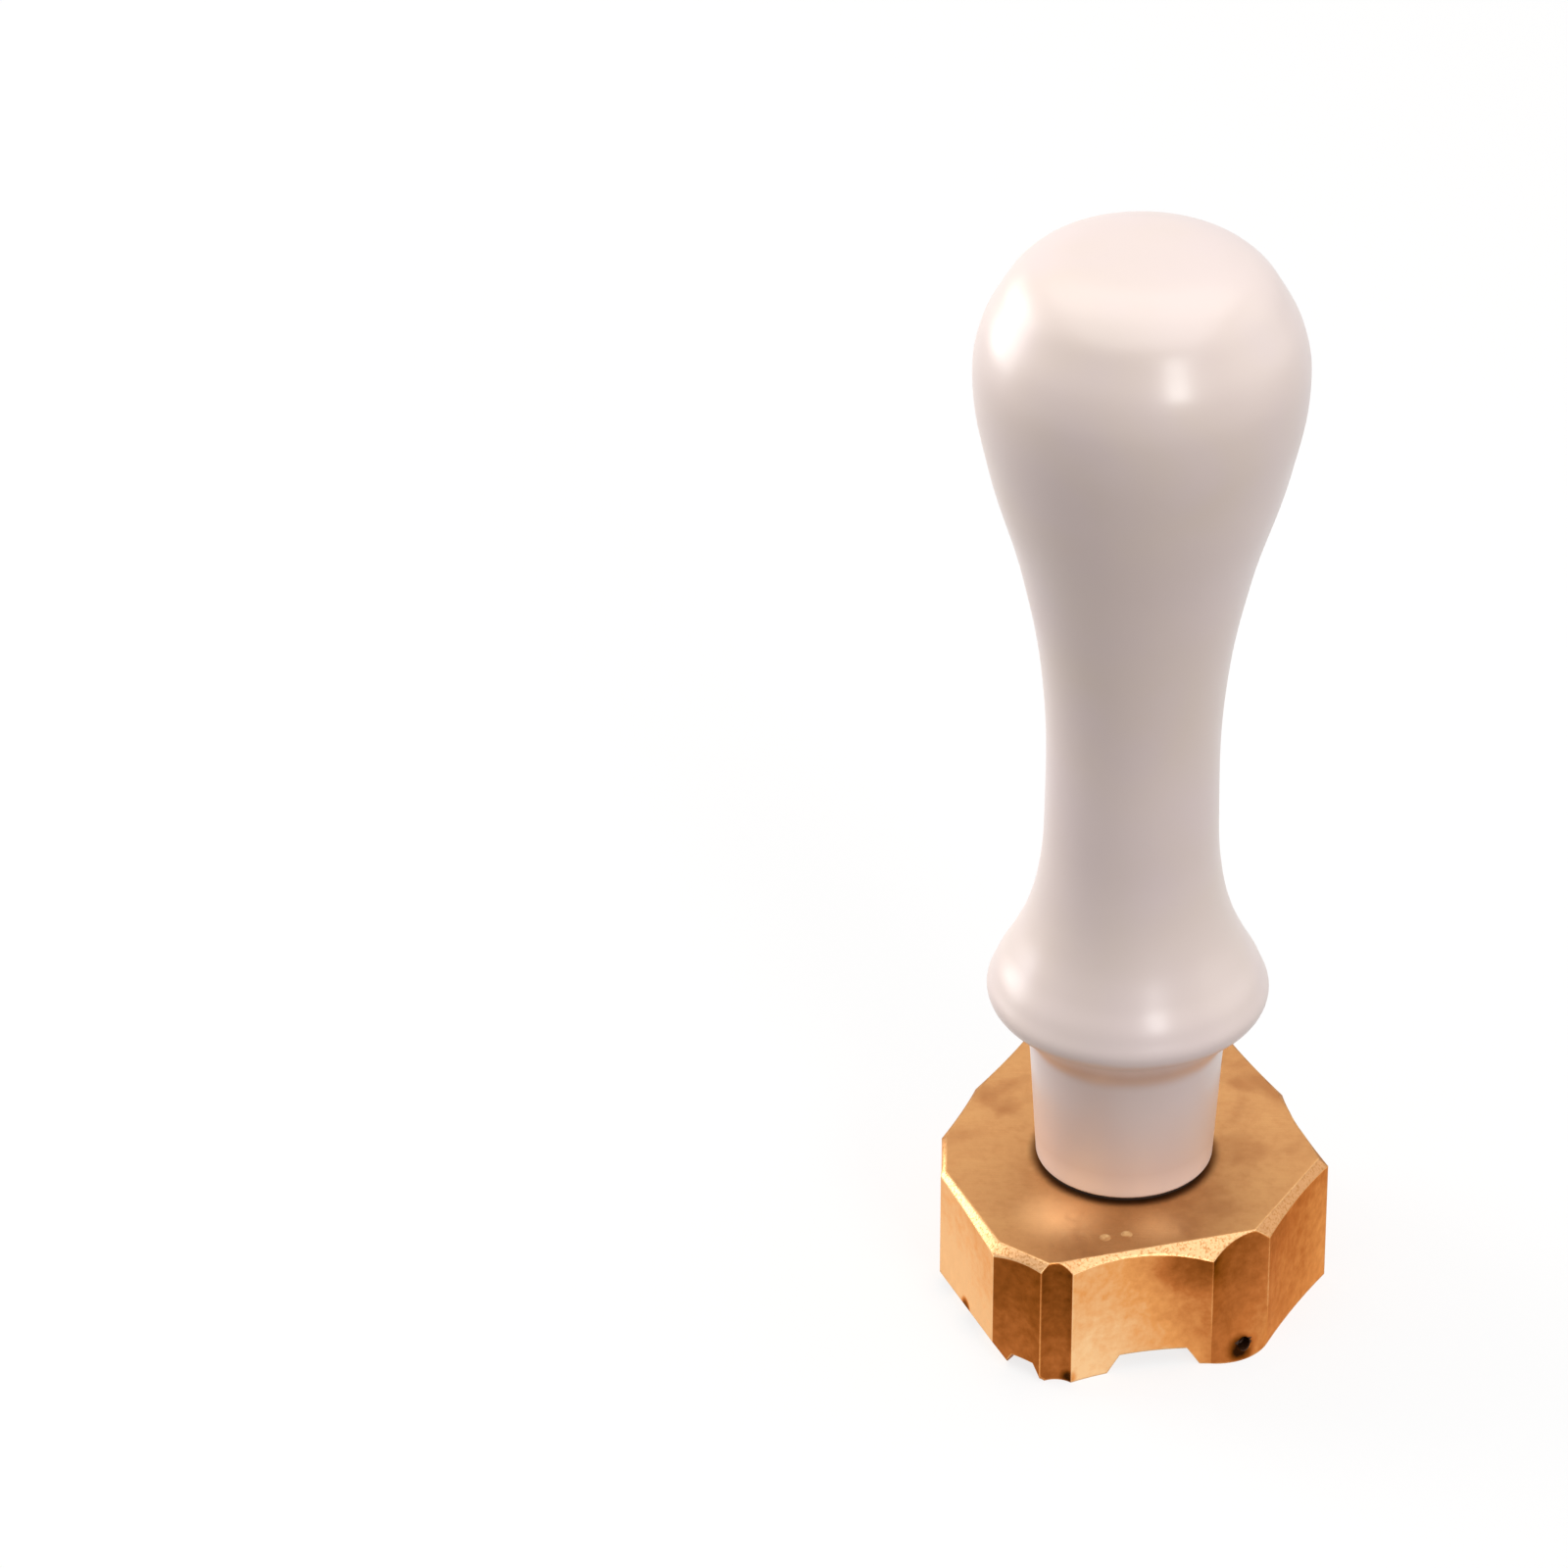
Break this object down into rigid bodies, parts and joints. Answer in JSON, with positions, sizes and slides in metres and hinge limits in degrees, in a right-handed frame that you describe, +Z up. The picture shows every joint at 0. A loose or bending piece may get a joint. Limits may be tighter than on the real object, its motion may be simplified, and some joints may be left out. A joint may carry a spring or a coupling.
{
  "type": "clay stamp",
  "caption": "Hand stamp for marking clay: an irregular brass die with a raised rosette design and a turned white wooden handle that unscrews from it.",
  "frame": {"origin": "on the handle's axis, at the tips of the raised design, which the stamp stands on", "axes": "+Z up along the handle, -Y towards the side of the die with the widest scallop, +X to the right seen from that side"},
  "size_m": [0.0301, 0.0318, 0.0916],
  "materials": {
    "die_brass": "milled, satin, warm yellow brass with slight tarnish",
    "washer_fibre": "dark vulcanised fibre, matt",
    "stud_steel": "zinc plated, rolled threads",
    "handle_lacquer": "turned wood under white gloss lacquer"
  },
  "bodies": {
    "die_body": {"die": "die_brass"},
    "washer_body": {"washer": "washer_fibre"},
    "handle_body": {"handle": "handle_lacquer", "stud": "stud_steel"}
  },
  "joints": [
    {"name": "handle_turn", "type": "hinge", "parent": "die_body", "child": "washer_body", "pos_m": [0, 0, 0.011], "axis": [0, 0, 1], "range_deg": [0, 1800]},
    {"name": "handle_rise", "type": "slide", "parent": "washer_body", "child": "handle_body", "axis": [0, 0, 1], "range_m": [0, 0.005]}
  ],
  "couplings": [
    {"joint": "handle_rise", "follows": "handle_turn", "m_per_rad": 0.00015915}
  ]
}
